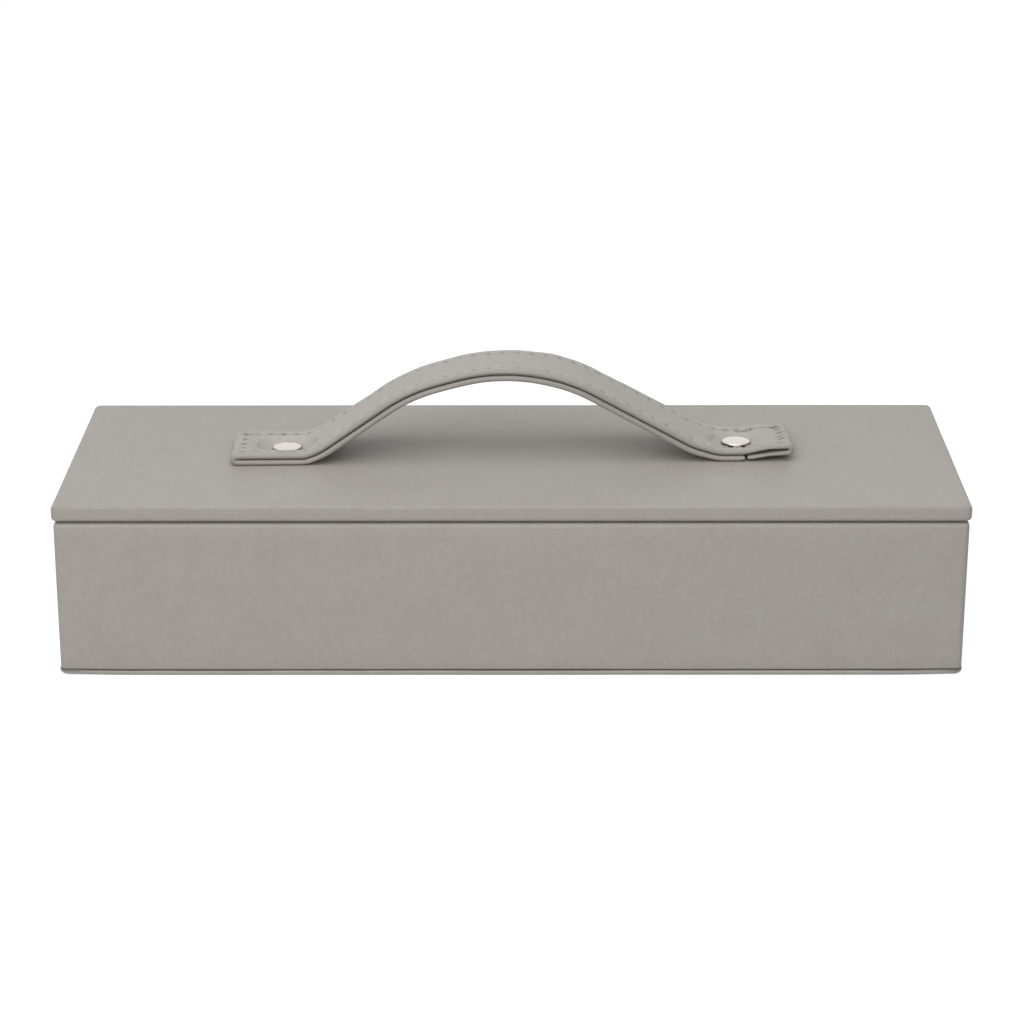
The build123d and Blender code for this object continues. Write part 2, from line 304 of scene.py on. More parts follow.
def end_face(height):
    """In edit mode, selects the largest face lying at a height."""
    mesh = bmesh.from_edit_mesh(bpy.context.object.data)
    mesh.faces.index_update()
    widest = max((f for f in mesh.faces if level(f, height)), key=lambda f: f.calc_area()).index
    choose("FACE", lambda f: f.index == widest)


def square_corners(reach, height):
    """Draws each small round corner of the selected end face together into one point."""
    bpy.ops.mesh.inset(thickness=reach)
    mesh = bmesh.from_edit_mesh(bpy.context.object.data)
    ends = next(f for f in mesh.faces if f.select).verts
    for axis in (0, 1):
        low, high = min(v.co[axis] for v in ends), max(v.co[axis] for v in ends)
        for v in ends:
            v.co[axis] = low if v.co[axis] < 0 else high
    bmesh.update_edit_mesh(bpy.context.object.data)
    bpy.ops.mesh.remove_doubles(threshold=HAIR, use_unselected=False)
    end_face(height)


def cut_at(axis, place):
    """In edit mode, cuts the mesh right across at a place along an axis."""
    normal = Vector((axis == 0, axis == 1, axis == 2))
    bpy.ops.mesh.select_all(action="SELECT")
    bpy.ops.mesh.bisect(plane_co=normal * place, plane_no=normal)


def score(reach):
    """Cuts even lines across the long and the short way, so that the sheet can waver."""
    bpy.ops.mesh.select_mode(type="FACE")
    for axis in (0, 1):
        count = round(2 * reach[axis] / SCORE_PITCH)
        across = Vector((axis == 0, axis == 1, 0))
        for step in range(1, count):
            bpy.ops.mesh.select_all(action="SELECT")
            bpy.ops.mesh.bisect(plane_co=across * reach[axis] * (2 * step / count - 1), plane_no=across)


def waver(piece, size, depth, seed):
    """The slight unevenness of a sheet glued on by hand."""
    cloud = bpy.data.textures.new(piece.name + "_waver", "CLOUDS")
    cloud.noise_scale = size
    centre = bpy.data.objects.new(piece.name + "_waver_centre", None)
    bpy.context.scene.collection.objects.link(centre)
    centre.location = (seed, seed / 3, 0)
    push = piece.modifiers.new("waver", "DISPLACE")
    push.texture = cloud
    push.texture_coords = "OBJECT"
    push.texture_coords_object = centre
    push.strength = depth
    push.mid_level = 0.5
    bpy.context.view_layer.update()
    bpy.ops.object.modifier_apply(modifier="waver")
    bpy.data.objects.remove(centre)


def finish_sheet(piece, material, size, depth, seed):
    """Merges the mesh, faces it outwards, lets it waver and gives it its thickness inwards."""
    bpy.ops.mesh.select_all(action="SELECT")
    bpy.ops.mesh.remove_doubles(threshold=MERGE_WITHIN)
    bpy.ops.mesh.normals_make_consistent(inside=False)
    bpy.ops.object.mode_set(mode="OBJECT")
    waver(piece, size, depth, seed)
    shell = piece.modifiers.new("thickness", "SOLIDIFY")
    shell.thickness = SHEET
    shell.offset = -1
    bpy.ops.object.modifier_apply(modifier="thickness")
    bpy.ops.object.shade_smooth_by_angle(angle=SHEET_ANGLE)
    piece.data.materials.append(material)


def raise_corners(piece, top, height):
    """Lifts both ends of what lies below a height: the base is bowed by less than half a millimetre."""
    reach = max(vertex.co.x for vertex in piece.data.vertices)
    for vertex in piece.data.vertices:
        if vertex.co.z < top:
            vertex.co.z += height * math.exp(-((reach - abs(vertex.co.x)) / CORNER_BOW) ** 2)


def ease_edge(piece, low, high, height, depth, amount):
    """Tilts the flat face at a height, so that it stands off by a hair along its outer edge."""
    for vertex in piece.data.vertices:
        x, y, z = vertex.co
        if abs(z - height) < NEAR_FLAT:
            inward = min(x - low.x, high.x - x, y - low.y, high.y - y)
            vertex.co.z += amount * min(max(1 - inward / depth, 0), 1)


def paint_groove_shade(piece, low, high, bottom, top, depth):
    """Paints shade into the cover between two heights, as far in as a depth: painted shade along a groove."""
    painted_shade = piece.data.attributes.new("painted_shade", "FLOAT", "POINT")
    for vertex in piece.data.vertices:
        x, y, z = vertex.co
        if bottom < z < top:
            inward = min(x - low.x, high.x - x, y - low.y, high.y - y)
            painted_shade.data[vertex.index].value = GROOVE_PAINTED_SHADE * (inward < depth)


base_low, base_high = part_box("base_cover")
LIP_UNDER_ROUND = 0.8 * MM
LIP_TOP_ROUND = 1.3 * MM
LIP_TOP_FALL = 0.6 * MM
WAVER_ROOM = 0.07 * MM
LIP_OUT_LEFT = 0.5 * MM
LIP_CREASE = 0.3 * MM
LIP_CREASE_ROOM = 0.1 * MM
LIP_CREASE_DEPTH = 9 * MM
BASE_WAVER = (40 * MM, 0.12 * MM, 4.3)
lip_under = base_low.z + WAVER_ROOM + LIP_UNDER_ROUND
base_wrap = start_block("base_wrap", (base_low.x - LIP_OUT_LEFT, base_low.y, lip_under),
                        (*base_high[:2], base_high[2] - LIP_TOP_FALL), BASE_CORNER)
end_face(lip_under)
round_in(LIP_UNDER_ROUND, -LIP_UNDER_ROUND)
end_face(base_high[2] - LIP_TOP_FALL)
round_in(LIP_TOP_ROUND, LIP_TOP_FALL)
bpy.ops.mesh.inset(thickness=BASE_CORNER - LIP_TOP_ROUND - CORNER_REST)
square_corners(CORNER_DRAWN, base_high[2])
bpy.ops.mesh.inset(thickness=TURN_IN - BASE_CORNER)
bpy.ops.mesh.delete(type="FACE")
score(base_high)
bpy.ops.object.mode_set(mode="OBJECT")
raise_corners(base_wrap, base_high[2] + NEAR_FACE, CORNER_RISE)
bpy.ops.object.mode_set(mode="EDIT")
finish_sheet(base_wrap, leatherette, *BASE_WAVER)
# painted shade in the groove above the base lip
paint_groove_shade(base_wrap, base_low, base_high, base_high.z - LIP_CREASE,
              base_high.z + CORNER_RISE + LIP_CREASE_ROOM, LIP_CREASE_DEPTH)
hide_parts("base_cover")
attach(base_wrap, "box")

# Box cover: one long sheet round the four walls, over the rim and twelve millimetres down
# the inside, its lower edge turned under the walls. Its two ends lap on the back.
RIM_WIDTH = 4.0 * MM
RIM_DOWN = 12 * MM
RIM_OUTER_ROUND = 1.8 * MM
RIM_INNER_ROUND = 1.0 * MM
RIM_EASE = 0.42 * MM
FOOT_ROUND = 1.2 * MM
FOOT_RISE = 0.75 * MM
FOOT_CORNER_RISE = 0.25 * MM
BOX_CORNER = 2.0 * MM
RIGHT_TAPER = 0.36 * MM
END_REACH = 3 * MM
LAP_START = 96 * MM
LAP_WIDTH = 9 * MM
LAP_STEP = 0.15 * MM
LAP_HEIGHT = 0.3 * MM
LAP_FROM = 0.01
FOOT_HEIGHT = 2 * MM
WALL_CUTS = range(8, 50, 8)
RIM_CREASE = 0.8 * MM
RIM_CREASE_DEPTH = 1.2 * MM
BOX_WAVER = (45 * MM, 0.14 * MM, 8.1)
box_low, box_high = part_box("box_cover")
box_wrap = start_block("box_wrap", (*box_low[:2], box_low[2] + FOOT_RISE),
                       (*box_high[:2], box_high[2] - RIM_OUTER_ROUND), BOX_CORNER)
end_face(box_low[2] + FOOT_RISE)
round_in(FOOT_ROUND, -FOOT_RISE)
bpy.ops.mesh.inset(thickness=BOX_CORNER - FOOT_ROUND - CORNER_REST)
square_corners(CORNER_DRAWN, box_low[2])
bpy.ops.mesh.inset(thickness=TURN_IN - BOX_CORNER)
bpy.ops.mesh.delete(type="FACE")
end_face(box_high[2] - RIM_OUTER_ROUND)
round_in(RIM_OUTER_ROUND, RIM_OUTER_ROUND)
bpy.ops.mesh.inset(thickness=BOX_CORNER - RIM_OUTER_ROUND - CORNER_REST)
square_corners(CORNER_DRAWN, box_high[2])
bpy.ops.mesh.inset(thickness=RIM_WIDTH - BOX_CORNER - RIM_INNER_ROUND)
for k in range(ROUND_STEPS):
    before, after = (math.pi / 2 * step / ROUND_STEPS for step in (k, k + 1))
    bpy.ops.mesh.inset(thickness=RIM_INNER_ROUND * (math.sin(after) - math.sin(before)))
    bpy.ops.transform.translate(value=(0, 0, -RIM_INNER_ROUND * (math.cos(before) - math.cos(after))))
bpy.ops.mesh.extrude_region_move(TRANSFORM_OT_translate={"value": (0, 0, RIM_INNER_ROUND - RIM_DOWN)})
bpy.ops.mesh.delete(type="FACE")
score(box_high)
for height in WALL_CUTS:
    cut_at(2, height * MM)
for x in (LAP_START, LAP_START + LAP_STEP, LAP_START + LAP_WIDTH):
    cut_at(0, x)
bpy.ops.object.mode_set(mode="OBJECT")
for vertex in box_wrap.data.vertices:
    lap = (vertex.co.x - LAP_START) / LAP_WIDTH
    if vertex.co.y > box_high.y - NEAR_FACE and LAP_FROM < lap < 1:
        vertex.co.y += LAP_HEIGHT * (1 - lap)
    if vertex.co.x > box_high.x - END_REACH:
        vertex.co.x -= RIGHT_TAPER * (box_high.z - vertex.co.z) / (box_high.z - box_low.z)
raise_corners(box_wrap, box_low[2] + FOOT_HEIGHT, FOOT_CORNER_RISE)
ease_edge(box_wrap, box_low, box_high, box_high.z, RIM_WIDTH, -RIM_EASE)
bpy.ops.object.mode_set(mode="EDIT")
finish_sheet(box_wrap, leatherette, *BOX_WAVER)
# painted shade along the outer top edge of the rim, in the gap under the lid
paint_groove_shade(box_wrap, box_low, box_high, box_high.z - RIM_CREASE, box_high.z, RIM_CREASE_DEPTH)
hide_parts("box_cover")
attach(box_wrap, "box")


# Lining: five cards covered with short-piled cloth, its edges folded over the cards,
# glued to the walls and the floor below the rim.
def flocked_cloth(name, light, dark):
    """Suede-like cloth with a short nap: matt, darker where it is brushed the other way."""
    material = empty_material(name)
    tree = material.node_tree
    place = node(tree, "ShaderNodeTexCoord")
    nap = node(tree, "ShaderNodeTexNoise", values={"Scale": 1 / (0.35 * MM), "Detail": 3.0, "Roughness": 0.7},
               links={0: place.outputs["Object"]})
    brushed = node(tree, "ShaderNodeTexNoise",
                   values={"Scale": 1 / (22 * MM), "Detail": 4.0, "Roughness": 0.55, "Distortion": 0.3},
                   links={0: place.outputs["Object"]})
    amount = node(tree, "ShaderNodeMath", {"operation": "MULTIPLY_ADD"}, {1: 0.45},
                  {0: nap.outputs["Fac"], 2: brushed.outputs["Fac"]})
    spread = node(tree, "ShaderNodeMapRange", values={"From Min": 0.55, "From Max": 0.9},
                  links={0: amount.outputs[0]})
    colour = node(tree, "ShaderNodeMix", {"data_type": "RGBA"}, {6: linear(dark), 7: linear(light)},
                  {0: spread.outputs["Result"]})
    bump = node(tree, "ShaderNodeBump", values={"Strength": 0.6, "Distance": 0.12 * MM},
                links={"Height": nap.outputs["Fac"]})
    shader = node(tree, "ShaderNodeBsdfPrincipled",
                  values={"Roughness": 0.95, "IOR": 1.5, "Sheen Weight": 0.35, "Sheen Roughness": 0.4,
                          "Specular IOR Level": 0.25},
                  links={"Base Color": colour.outputs[2], "Normal": bump.outputs[0]})
    node(tree, "ShaderNodeOutputMaterial", links={"Surface": shader.outputs[0]})
    return material


lining_cloth = flocked_cloth("light_grey_suede_cloth", "#b5b0a9", "#a49e97")
for side in ("front", "back", "left", "right", "floor"):
    finish_node(f"lining_cloth_{side}", lining_cloth)
finish_node("locating_cloth", lining_cloth)

# Lid cover: the same leatherette pulled tight over the lid board and turned in underneath,
# where the locating panel hides it. Its edges are full and round.
LID_CORNER = 2.2 * MM
LID_TOP_ROUND = 1.4 * MM
LID_UNDER_ROUND = 1.2 * MM
LID_EASE = 0.15 * MM
CREASE_POWER = 6
FRONT_SLOPE = 15 * MM
FRONT_RISE = 0.15 * MM
BACK_RISE = 0.25 * MM
BACK_FROM = 0.3
FRONT_CUTS = (3.5, 6.5, 10.5)
LID_WAVER = (40 * MM, 0.12 * MM, 1.7)


def pull_tight(piece, low, high):
    """Draws the round top edge tight along the front. The top rises a little there and at the back."""
    for vertex in piece.data.vertices:
        inward, down = vertex.co.y - low.y, high.z - vertex.co.z
        if down < LID_TOP_ROUND:
            if inward < LID_TOP_ROUND:
                across, up = 1 - inward / LID_TOP_ROUND, 1 - down / LID_TOP_ROUND
                tight = (across ** CREASE_POWER + up ** CREASE_POWER) ** (1 / CREASE_POWER)
                fuller = math.hypot(across, up) / tight
                vertex.co.y = low.y + LID_TOP_ROUND * (1 - across * fuller)
                vertex.co.z = high.z - LID_TOP_ROUND * (1 - up * fuller)
            if inward < FRONT_SLOPE:
                vertex.co.z += FRONT_RISE * (1 - inward / FRONT_SLOPE) ** 2
            behind = (inward / (high.y - low.y) - BACK_FROM) / (1 - BACK_FROM)
            vertex.co.z += BACK_RISE * max(behind, 0) ** 2


lid_low, lid_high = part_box("lid_cover")
lid_wrap = start_block("lid_wrap", (*lid_low[:2], lid_low[2] + LID_UNDER_ROUND),
                       (*lid_high[:2], lid_high[2] - LID_TOP_ROUND), LID_CORNER)
end_face(lid_high[2] - LID_TOP_ROUND)
round_in(LID_TOP_ROUND, LID_TOP_ROUND)
end_face(lid_low[2] + LID_UNDER_ROUND)
round_in(LID_UNDER_ROUND, -LID_UNDER_ROUND)
bpy.ops.mesh.inset(thickness=LID_CORNER - LID_UNDER_ROUND - CORNER_REST)
square_corners(CORNER_DRAWN, lid_low[2])
bpy.ops.mesh.inset(thickness=TURN_IN - LID_CORNER)
bpy.ops.mesh.delete(type="FACE")
score(lid_high)
for inset in FRONT_CUTS:
    cut_at(1, lid_low.y + inset * MM)
bpy.ops.object.mode_set(mode="OBJECT")
pull_tight(lid_wrap, lid_low, lid_high)
ease_edge(lid_wrap, lid_low, lid_high, lid_low.z, 2 * RIM_WIDTH, LID_EASE)
bpy.ops.object.mode_set(mode="EDIT")
finish_sheet(lid_wrap, leatherette, *LID_WAVER)
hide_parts("lid_cover")
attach(lid_wrap, "lid")

# Strap handle: one leatherette strip folded round a padding, its ends butted under the right
# foot, looped flat on itself, and sewn through both layers. Its place is measured in mm
# along the strip (s), across it (y) and outwards from its middle (z), then bent round the loop.
LID_TOP = lid_high[2]
STRAP_BACK = 2.15 * MM
STRAP_SKEW = math.radians(1.4)
LOOP_STEP = 0.5
STRAP_HALF = 2.05
LAYER = 1.9
STRAP_EDGE = 13.5
SMOOTH_ANGLE = math.radians(60)
EDGE_ROUND = 1.0
EDGE_FULL = 0.8
EDGE_STEPS = 6
SEAM_ROUND = 1.6
LOWER_ROUND = 0.45
LOWER_LIFT = 0.3
LIFT_FROM = 2
LIFT_BLEND = 1.2
EDGE_PAINTED_SHADE = 0.24
DARK_FROM = 1.6
DARK_BLEND = 1.4
FOLD_X = 92
FOLD_BLEND = 4
FOLD_STEPS = 12
ARCH_FOOT_X = 61
FOOT_BLEND = 8
SEAM_CORNERS = [(-93.3, 1.98), (-69.8, 1.98), (-64.5, 4.2), (-34.9, 24.68), (-5.0, 32.75), (19.3, 28.0),
                (61.0, 4.75), (69.8, 2.02), (78.9, 2.06), (86.9, 3.55), (93.4, 3.95)]
SEAM_BENDS = [7.8, 25.1, 57.0, 62.4, 58.4, 25.3, 17.5, 12.0, 20.0]
TWIST = [(-70, 0), (-58, -0.45), (-48, -0.75), (-35, -0.9), (-20, -0.78), (-5, -0.78), (6, -0.5), (16, 0.0),
         (30, 0.35), (44, 0.65), (55, 0.7), (64, 0.55), (70, 0.35), (76, 0.1), (82, -0.3), (91, -0.85)]
JOIN_X = 79.3
JOIN_CLEAR = 1.5
END_ROUND = 2.0
END_THIN = 0.01
END_LEAN = 0.7
END_GAP = 0.08
STITCH_ROW = 9.6
FOOT_X = 70
FOOT_PITCH = 4.4
ARCH_PITCH = 5.0
CROSS_ROWS = (-91.3, 91.7)
SECOND_ROW = 1.1
LEFT_CROSS = (-9.6, -5.2, -0.8, 4.0, 9.6)
RIGHT_CROSS = (-9.6, -5.2, -2.3, 1.9, 5.8, 9.6)
SECOND_CROSS = (-9.6, -4.0, -1.2, 2.9, 7.0)
LOCK_STITCHES = (78.2, 79.8, 81.4, 83.1)
LOCK_ROW = 8.4
HOLE_SIZES = (0.75, 1.25)
LOCK_HOLE = 0.6
LEFT_KNOT = 1.7
RIGHT_KNOT = 2.2
KNOT_SHIFT = 0.2
HOLE_DEPTH = 0.6
HOLE_WIDTH = 0.6
HOLE_SEARCH = 2.6
FAR_OFF = 9
RIVET_PLACES = {"left": -76.8, "right": 76.8}
CAP_RADIUS = 5.0
CAP_SEATS = {"left": 2.0, "right": 2.7}
CAP_MARGIN = 0.3
DIMPLE_SIDE = 10.0
DIMPLE_BACK = 3.9
DIMPLE_FRONT = {"left": 2.9, "right": 6.2}
DIMPLE_SOFT = 0.55
handle_place = Matrix.Translation((0, STRAP_BACK, LID_TOP)) @ Matrix.Rotation(STRAP_SKEW, 4, "Z")


def along(heading):
    return Vector((math.cos(heading), math.sin(heading)))


def leftward(heading):
    return Vector((-math.sin(heading), math.cos(heading)))


def seam_line(step):
    """The line between the two layers, seen from the front: (place, heading) along runs and bends."""
    corners = [Vector(p) for p in SEAM_CORNERS]
    line = []
    start = corners[0]
    for before, corner, onward, radius in zip(corners, corners[1:], corners[2:] + [None], SEAM_BENDS + [0]):
        heading = math.atan2(*(corner - before).yx)
        turn = 0 if onward is None else math.atan2(*(onward - corner).yx) - heading
        end = corner - along(heading) * radius * math.tan(abs(turn) / 2)
        count = max(1, round((end - start).length / step))
        line += [(start.lerp(end, k / count), heading) for k in range(count)]
        side = math.copysign(radius, turn)
        centre = end + leftward(heading) * side
        count = max(1, round(radius * abs(turn) / step))
        if turn:
            angles = [heading + turn * k / count for k in range(count)]
            line += [(centre - leftward(angle) * side, angle) for angle in angles]
        start = centre - leftward(heading + turn) * side
    return line + [(start, heading)]


def strip_loop(step):
    """The strip's middle all round its loop from the join: (length so far, place, outward normal)."""
    seam = seam_line(step)
    half = STRAP_HALF - LAYER / 2
    upper = [(place + leftward(heading) * half, leftward(heading)) for place, heading in seam]
    lower = [(place - leftward(heading) * half, -leftward(heading)) for place, heading in reversed(seam)]
    fold = [math.pi * (0.5 - k / FOLD_STEPS) for k in range(1, FOLD_STEPS)]
    tip, heading = seam[-1]
    right_fold = [(tip + along(heading + turn) * half, along(heading + turn)) for turn in fold]
    tip, heading = seam[0]
    left_fold = [(tip - along(heading + turn) * half, -along(heading + turn)) for turn in fold]
    join = next(i for i, (place, _) in enumerate(lower) if place.x < JOIN_X)
    around = lower[join:] + left_fold + upper + right_fold + lower[:join]
    length = 0
    line = []
    for (place, normal), (before, _) in zip(around, around[:1] + around):
        length += (place - before).length
        line.append((length, place, normal))
    return line


loop = strip_loop(LOOP_STEP)
STRIP_LENGTH = loop[-1][0]


def smooth_step(share):
    share = min(max(share, 0), 1)
    return share * share * (3 - 2 * share)


def hump(distance, width):
    return math.exp(-(distance / width) ** 2)


def twist(x):
    """How far the back row of stitches stands above (or below) the front row at a place on the lid."""
    for (start, before), (end, after) in zip(TWIST, TWIST[1:]):
        if x < end:
            break
    return before + (after - before) * smooth_step((x - start) / (end - start))


def bend_round_loop(piece):
    """Moves a mesh modelled flat onto the loop, at its place on the lid."""
    lengths = [length for length, _, _ in loop]
    for vertex in piece.data.vertices:
        s = min(max(vertex.co.x / MM, 0), STRIP_LENGTH - HAIR)
        low, high = 0, len(loop) - 1
        while high - low > 1:
            middle = (low + high) // 2
            low, high = (middle, high) if lengths[middle] <= s else (low, middle)
        share = (s - lengths[low]) / (lengths[high] - lengths[low])
        normal = loop[low][2].lerp(loop[high][2], share).normalized()
        place = loop[low][1].lerp(loop[high][1], share) * MM + normal * vertex.co.z
        place.y += twist(place.x / MM) * (vertex.co.y + STRAP_EDGE * MM) / (STRAP_EDGE + STITCH_ROW)
        vertex.co = handle_place @ Vector((place.x, vertex.co.y, place.y))


def length_over(x, top):
    """Length along the strip where its upper (or lower) layer passes a place on the lid."""
    for (length, place, normal), (_, onward, _) in zip(loop, loop[1:]):
        if (normal.y > 0) == top and (place.x - x) * (onward.x - x) <= 0:
            return length


LEFT_FOLD = (length_over(-FOLD_X, False) + length_over(-FOLD_X, True)) / 2
RIGHT_FOLD = (length_over(FOLD_X, False) + length_over(FOLD_X, True)) / 2
ARCH_START, ARCH_END = length_over(ARCH_FOOT_X, False), length_over(-ARCH_FOOT_X, False)
RIVETS = [(length_over(x, True), CAP_SEATS[side], DIMPLE_FRONT[side]) for side, x in RIVET_PLACES.items()]
UNDER_RIVETS = [(length_over(x, False), CAP_SEATS[side]) for side, x in RIVET_PLACES.items()]


def stitch_places():
    """Where the needle went through each layer's two rows: closer together on the feet."""
    first, last = (length_over(x, True) for x in CROSS_ROWS)
    upper = [first]
    while upper[-1] < last:
        x = min(loop, key=lambda entry: abs(entry[0] - upper[-1]))[1].x
        upper.append(upper[-1] + (FOOT_PITCH if abs(x) > FOOT_X else ARCH_PITCH))
    stretch = (last - first) / (upper[-1] - first)
    upper = [first + (s - first) * stretch for s in upper]
    under = []
    for s in upper:
        x = min(loop, key=lambda entry: abs(entry[0] - s))[1].x
        if abs(x - JOIN_X) > JOIN_CLEAR:
            under.append(length_over(x, False))
    return upper, sorted(under)


upper_row_places, lower_row_places = stitch_places()
lock_places = [length_over(x, True) for x in LOCK_STITCHES]
first, last = upper_row_places[0], upper_row_places[-1]
CROSS_LINES = [(first, LEFT_CROSS), (last, RIGHT_CROSS), (last + SECOND_ROW, SECOND_CROSS)]
sewing = random.Random(4)
HOLES = [(s, side * STITCH_ROW, sewing.uniform(*HOLE_SIZES))
         for s in upper_row_places + lower_row_places for side in (-1, 1)]
HOLES += [(s, y, sewing.uniform(*HOLE_SIZES)) for s, places in CROSS_LINES for y in places]
HOLES += [(s, LOCK_ROW, LOCK_HOLE) for s in lock_places]
HOLES += [(first, STITCH_ROW, LEFT_KNOT), (last - KNOT_SHIFT, STITCH_ROW - KNOT_SHIFT, RIGHT_KNOT)]
HOLES.sort()
HOLE_LENGTHS = sorted({s for s, _, _ in HOLES})

# Where the strip's mesh has its points, in mm: along it near its ends and near each hole, and
# across its outer and its inner face.
END_RINGS = (0.04, 0.12, 0.25, 0.42, 0.65, 0.95, 1.3, 1.65, 2.0)
HOLE_RINGS = (-0.75, -0.45, -0.22, 0, 0.22, 0.45, 0.75)
RING_GAP = 0.75
RING_MERGE = 0.03
OUTER_PLACES = [0, 0.8, 1.4, 1.9, 2.4, 3, 3.6, 4.0, 4.5, 5.2, 5.8, 6.3, 7.0, 7.7, 8.2, 8.5, 8.8, 9.1, 9.35,
                9.6, 9.85, 10.2, 10.7, 11.3, 11.9]
INNER_PLACES = [9.6, 6, 3, 0, -3, -6, -9.6]


def ring_places():
    """Lengths of the strip's rings of points: close together at its ends and at each stitch hole."""
    places = {0, STRIP_LENGTH}
    for near in END_RINGS:
        places |= {near, STRIP_LENGTH - near}
    for hole in HOLE_LENGTHS:
        places |= {hole + near for near in HOLE_RINGS}
    ordered = sorted(p for p in places if 0 <= p <= STRIP_LENGTH)
    filled = [ordered[0]]
    for place in ordered[1:]:
        gap = place - filled[-1]
        if gap < RING_MERGE:
            continue
        count = math.ceil(gap / RING_GAP)
        filled += [filled[-1] + gap * k / count for k in range(1, count + 1)]
    return filled


def strip_section():
    """The strip's section: up over its outer face, round one edge, back inside, round the other."""
    half = LAYER / 2
    section = [(y, half) for y in [-y for y in OUTER_PLACES[:0:-1]] + OUTER_PLACES]
    quarter = [math.pi / 2 * k / EDGE_STEPS for k in range(EDGE_STEPS + 1)]
    rolled = [(STRAP_EDGE - EDGE_ROUND * (1 - math.sin(turn) ** EDGE_FULL),
               half * math.cos(turn) ** EDGE_FULL) for turn in quarter[:-1]]
    rolled += [(STRAP_EDGE - SEAM_ROUND * (1 - math.cos(turn)), -half * math.sin(turn)) for turn in quarter]
    section += rolled + [(y, -half) for y in INNER_PLACES]
    return section + [(-y, z) for y, z in reversed(rolled)]


def dimple(along_it, y, front):
    """Share of a rivet's depth near its middle: a soft slope, short behind it and long on both sides."""
    out = max(math.hypot(along_it, y), 1e-6)
    reach = DIMPLE_SIDE * (along_it / out) ** 2 + (DIMPLE_BACK if y > 0 else front) * (y / out) ** 2
    return hump(max(out - CAP_RADIUS - CAP_MARGIN, 0), DIMPLE_SOFT * reach)


def nearest_hole(s, y):
    """Distance to the stitch hole closest by, along the strip and in all, as shares of the hole's size."""
    begin, end = (bisect.bisect(HOLES, (s + way,)) for way in (-HOLE_SEARCH, HOLE_SEARCH))
    ways = [((s - a) / size, math.hypot(s - a, y - b) / size) for a, b, size in HOLES[begin:end]]
    return min(ways, key=lambda way: way[1], default=(FAR_OFF, FAR_OFF))


# How the outer face swells and sinks, in mm: a bead outside each seam, filling in the middle,
# slight unevenness, a furrow along each seam, puckers at the holes and pleats round each cap.
BEAD, BEAD_ROW, BEAD_WIDTH = 0.18, 11.5, 1.1
FILLING = 0.10
UNEVEN = 0.04
FURROW, FURROW_WIDTH = 0.17, 0.6
PUCKER, PUCKER_WIDTH, PUCKER_LENGTH = 0.14, 1.0, 1.4
HOLE_RIM, HOLE_RIM_WIDTH = 0.14, 1.3
CAP_REACH = 16
CAP_ROOM = 0.15
PLEAT, PLEAT_COUNT, PLEAT_SLANT = 0.05, 9, 0.8
PLEAT_RING, PLEAT_WIDTH = 7.4, 1.5

# How the inner face lies, in mm: pressed shut at the left fold, drawn open at the right one.
SHUT_LENGTH, SHUT_OVERLAP = 3.4, 0.12
FILL_POWER = 6
OPENING, OPENING_FROM, OPENING_LENGTH = 0.46, 8.5, 6.0


def surface_height(s, y):
    """How far the outer face stands off the strip's middle, with its seams, puckers and dimples."""
    side = abs(y)
    row = hump(side - STITCH_ROW, PUCKER_WIDTH)
    along_it, hole = nearest_hole(s, y)
    height = LAYER / 2 + BEAD * hump(side - BEAD_ROW, BEAD_WIDTH)
    height += FILLING * math.cos(min(side / STITCH_ROW, 1) * math.pi / 2)
    height += UNEVEN * math.sin(s / 3.1 + 0.4) * math.sin(y / 3.7 + s / 9)
    height -= FURROW * hump(side - STITCH_ROW, FURROW_WIDTH)
    height += PUCKER * row * (1 - hump(along_it, PUCKER_LENGTH))
    height -= HOLE_DEPTH * hump(hole, HOLE_WIDTH) + HOLE_RIM * hump(hole, HOLE_RIM_WIDTH)
    for rivet, seat, front in RIVETS:
        if abs(s - rivet) < CAP_REACH:
            out = math.hypot(s - rivet, y)
            around = math.atan2(y, s - rivet)
            height -= (2 * STRAP_HALF - seat + CAP_ROOM) * dimple(s - rivet, y, front)
            pleat = math.cos(PLEAT_COUNT * around + PLEAT_SLANT * out)
            height += PLEAT * pleat * hump(out - PLEAT_RING, PLEAT_WIDTH)
    return height


def inner_height(s, y, z):
    """How far the inner face stands off the middle: shut at the left fold, open at the right one
    and pressed down by the rivets."""
    shut = hump(s - LEFT_FOLD, SHUT_LENGTH)
    fill = 1 - max((abs(y) - STRAP_EDGE + SEAM_ROUND) / SEAM_ROUND, 0) ** FILL_POWER
    z += shut * (-fill * (LAYER / 2 + SHUT_OVERLAP) - z)
    z *= 1 - OPENING * hump(abs(s - RIGHT_FOLD) - OPENING_FROM, OPENING_LENGTH)
    for rivet, seat, front in RIVETS:
        z -= 0.5 * (2 * STRAP_HALF - seat) * dimple(s - rivet, y, front)
    for rivet, seat in UNDER_RIVETS:
        z += 0.5 * (2 * STRAP_HALF - seat) * dimple(s - rivet, y, DIMPLE_BACK)
    return z


